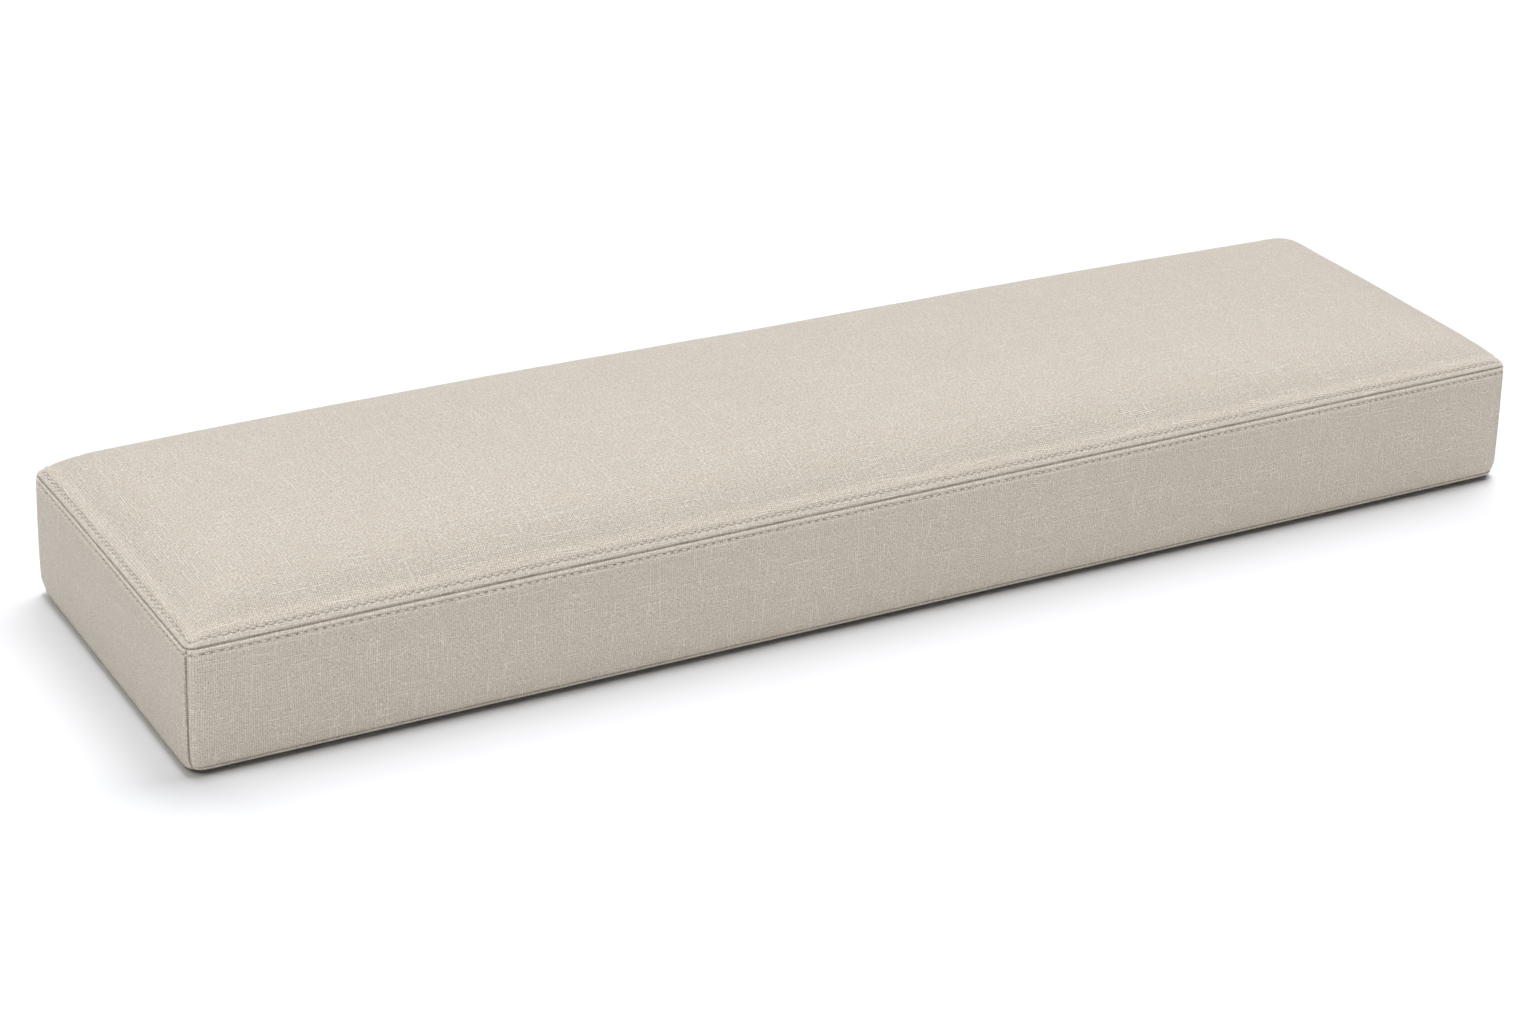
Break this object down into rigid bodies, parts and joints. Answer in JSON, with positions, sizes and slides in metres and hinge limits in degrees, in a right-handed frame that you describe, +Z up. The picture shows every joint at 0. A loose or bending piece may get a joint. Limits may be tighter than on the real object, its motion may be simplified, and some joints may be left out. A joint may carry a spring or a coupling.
{
  "type": "window seat cushion",
  "caption": "Long boxed seat cushion with a crowned top panel, a boxing band and seams top-stitched on both sides, resting on its flat underside.",
  "frame": {"origin": "middle of the flat underside, on the surface that the cushion rests on", "axes": "+X along the length to the right seen from the front, +Y from front to back, +Z up"},
  "size_m": [1.2176, 0.306, 0.146],
  "materials": {
    "linen": "plain-weave linen-look upholstery cloth in oatmeal, matte, with light slub threads both ways",
    "thread": "tone-on-tone upholstery thread, slightly glossier than the cloth"
  },
  "bodies": {
    "root": {"cushion": "linen"}
  },
  "joints": []
}
